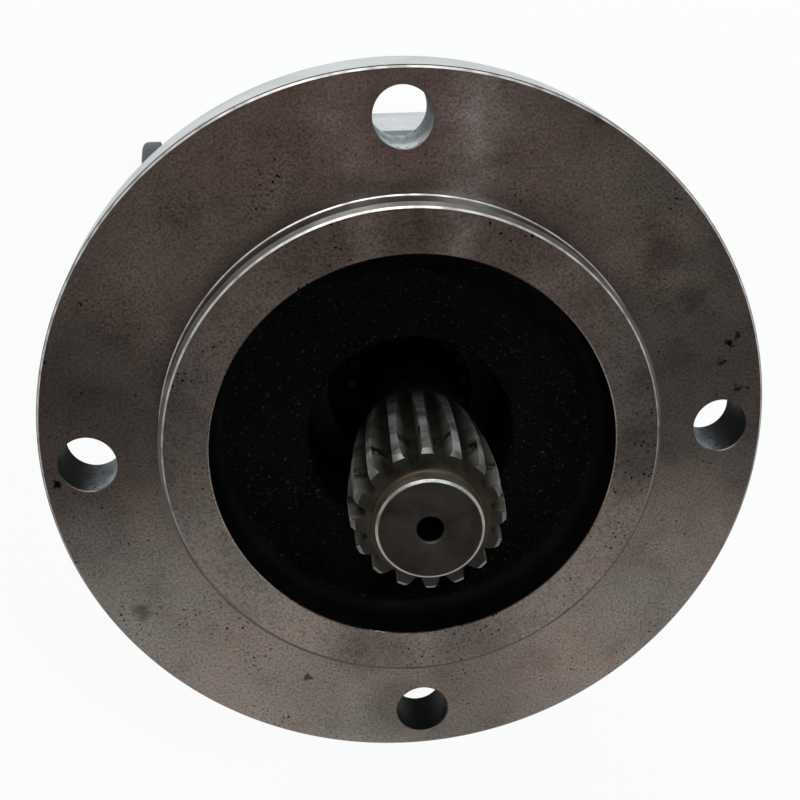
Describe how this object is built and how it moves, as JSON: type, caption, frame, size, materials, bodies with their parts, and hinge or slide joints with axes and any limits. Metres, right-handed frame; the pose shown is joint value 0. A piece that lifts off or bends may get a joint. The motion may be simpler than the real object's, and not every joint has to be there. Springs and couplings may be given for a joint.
{
  "type": "hydraulic drive motor",
  "caption": "Short bearingless orbital hydraulic motor with a round four-hole flange, a spigot with a deep cavity and a splined drive link that rocks as it turns.",
  "frame": {"origin": "centre of the flange's mounting face, on the motor's axis", "axes": "+Z out of the mounting face along the drive link; +X to the right of the picture and +Y to its top; the motor stands on the flat rear face of its end cover"},
  "size_m": [0.1826, 0.1826, 0.1633],
  "materials": {
    "housing_iron": "turned grey iron face, painted neck",
    "painted_plates": "light grey paint over steel",
    "painted_cover": "light grey paint over cast iron",
    "bolt_steel": "zinc plated",
    "hard_steel": "ground",
    "link_steel": "turned and hobbed, oiled",
    "plug_steel": "zinc plated",
    "valve_iron": "lapped",
    "washer_copper": "soft copper",
    "bushing_bronze": "bearing bronze",
    "seal_rubber": "moulded",
    "cap_plastic": "moulded"
  },
  "bodies": {
    "motor_body": {"mounting_housing": "housing_iron", "wear_plate": "painted_plates", "stator": "painted_plates", "manifold_front_plate": "painted_plates", "manifold_passage_plate": "painted_plates", "manifold_port_plate": "painted_plates", "commutator_ring": "painted_plates", "end_cover": "painted_cover", "section_bolts": "bolt_steel", "bolt_washers": "bolt_steel", "timing_pins": "hard_steel", "housing_seal": "seal_rubber", "wear_plate_seal": "seal_rubber", "stator_seal": "seal_rubber", "manifold_seal": "seal_rubber", "cover_seal": "seal_rubber", "port_cap": "cap_plastic", "drain_plug": "plug_steel", "drain_washer": "washer_copper"},
    "commutator_set": {"commutator": "valve_iron", "commutator_seal": "seal_rubber", "nose_bushing": "bushing_bronze"},
    "rotor": {"rotor": "hard_steel"},
    "drive_link": {"drive_link": "link_steel"},
    "roller_1": {"roller_1": "hard_steel"},
    "roller_2": {"roller_2": "hard_steel"},
    "roller_3": {"roller_3": "hard_steel"},
    "roller_4": {"roller_4": "hard_steel"},
    "roller_5": {"roller_5": "hard_steel"},
    "roller_6": {"roller_6": "hard_steel"},
    "roller_7": {"roller_7": "hard_steel"}
  },
  "joints": [
    {"name": "orbit", "type": "hinge", "parent": "motor_body", "child": "commutator_set", "pos_m": [0, 0, -0.077], "axis": [0, 0, 1], "continuous": true},
    {"name": "rotor_spin", "type": "hinge", "parent": "commutator_set", "child": "rotor", "pos_m": [0.0032, 0, -0.053], "axis": [0, 0, 1], "continuous": true},
    {"name": "link_spin", "type": "hinge", "parent": "commutator_set", "child": "drive_link", "pos_m": [0, 0, 0.02], "axis": [-0.0438, 0, 0.999], "continuous": true},
    {"name": "roller_1_spin", "type": "hinge", "parent": "motor_body", "child": "roller_1", "pos_m": [0.03424, 0.01649, -0.053], "axis": [0, 0, 1], "continuous": true},
    {"name": "roller_2_spin", "type": "hinge", "parent": "motor_body", "child": "roller_2", "pos_m": [0.00846, 0.03705, -0.053], "axis": [0, 0, 1], "continuous": true},
    {"name": "roller_3_spin", "type": "hinge", "parent": "motor_body", "child": "roller_3", "pos_m": [-0.02369, 0.02971, -0.053], "axis": [0, 0, 1], "continuous": true},
    {"name": "roller_4_spin", "type": "hinge", "parent": "motor_body", "child": "roller_4", "pos_m": [-0.038, 0, -0.053], "axis": [0, 0, 1], "continuous": true},
    {"name": "roller_5_spin", "type": "hinge", "parent": "motor_body", "child": "roller_5", "pos_m": [-0.02369, -0.02971, -0.053], "axis": [0, 0, 1], "continuous": true},
    {"name": "roller_6_spin", "type": "hinge", "parent": "motor_body", "child": "roller_6", "pos_m": [0.00846, -0.03705, -0.053], "axis": [0, 0, 1], "continuous": true},
    {"name": "roller_7_spin", "type": "hinge", "parent": "motor_body", "child": "roller_7", "pos_m": [0.03424, -0.01649, -0.053], "axis": [0, 0, 1], "continuous": true}
  ],
  "couplings": [
    {"joint": "rotor_spin", "follows": "orbit", "ratio": -1.1667},
    {"joint": "link_spin", "follows": "orbit", "ratio": -1.1667},
    {"joint": "roller_1_spin", "follows": "orbit", "ratio": 0.625},
    {"joint": "roller_2_spin", "follows": "orbit", "ratio": 0.625},
    {"joint": "roller_3_spin", "follows": "orbit", "ratio": 0.625},
    {"joint": "roller_4_spin", "follows": "orbit", "ratio": 0.625},
    {"joint": "roller_5_spin", "follows": "orbit", "ratio": 0.625},
    {"joint": "roller_6_spin", "follows": "orbit", "ratio": 0.625},
    {"joint": "roller_7_spin", "follows": "orbit", "ratio": 0.625}
  ]
}
